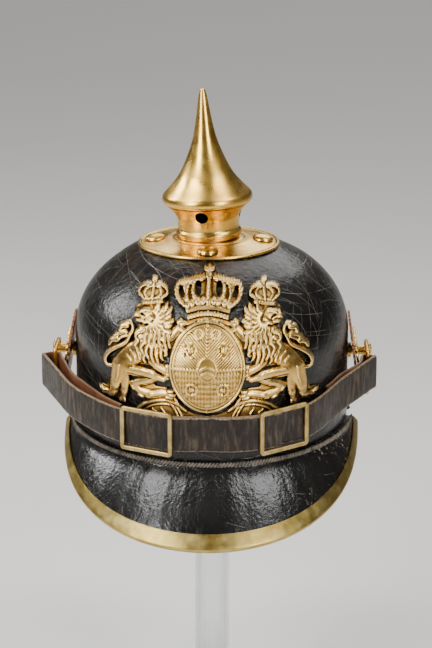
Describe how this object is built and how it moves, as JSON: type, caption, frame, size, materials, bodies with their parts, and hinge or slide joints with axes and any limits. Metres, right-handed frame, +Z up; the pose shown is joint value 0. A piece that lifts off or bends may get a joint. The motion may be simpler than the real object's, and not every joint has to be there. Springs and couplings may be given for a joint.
{
  "type": "pickelhaube on a display stand",
  "caption": "Spiked leather helmet with brass front plate, cockades, visors and chin strap, set out on a clear display stand with a round foot",
  "frame": {"origin": "centre of the underside of the stand's round foot", "axes": "+Z up; the helmet's front plate and front visor face -Y; +X is to the right as the front is seen"},
  "size_m": [0.2107, 0.2832, 0.4308],
  "materials": {
    "clear_acrylic": "clear polished",
    "black_leather": "lacquered, finely crackled",
    "visor_leather": "glossy lacquered",
    "spike_brass": "satin, aged",
    "plate_brass": "satin, aged",
    "trim_brass": "dull, aged",
    "copper_brass": "dull coppery, speckled",
    "strap_leather": "matt, worn"
  },
  "bodies": {
    "root": {"stand_foot": "clear_acrylic", "stand_post": "clear_acrylic", "stand_pad": "clear_acrylic", "skull": "black_leather", "front_visor": "visor_leather", "rear_visor": "visor_leather", "front_visor_trim": "trim_brass", "rear_spine": "spike_brass", "spike_base": "spike_brass", "front_plate": "plate_brass", "plate_nut_1": "spike_brass", "plate_nut_2": "spike_brass", "base_stud_1": "spike_brass", "base_stud_2": "spike_brass", "base_stud_3": "spike_brass", "base_stud_4": "spike_brass", "spike_neck": "spike_brass", "spike_tip": "spike_brass", "lug_left": "spike_brass", "lug_right": "spike_brass", "large_cockade_left": "copper_brass", "large_cockade_right": "copper_brass", "small_cockade_left": "spike_brass", "small_cockade_right": "spike_brass", "strap_ring_left": "spike_brass", "strap_ring_right": "spike_brass", "chin_strap_left": "strap_leather", "chin_strap_right": "strap_leather", "buckle_left": "plate_brass", "buckle_right": "plate_brass"}
  },
  "joints": []
}
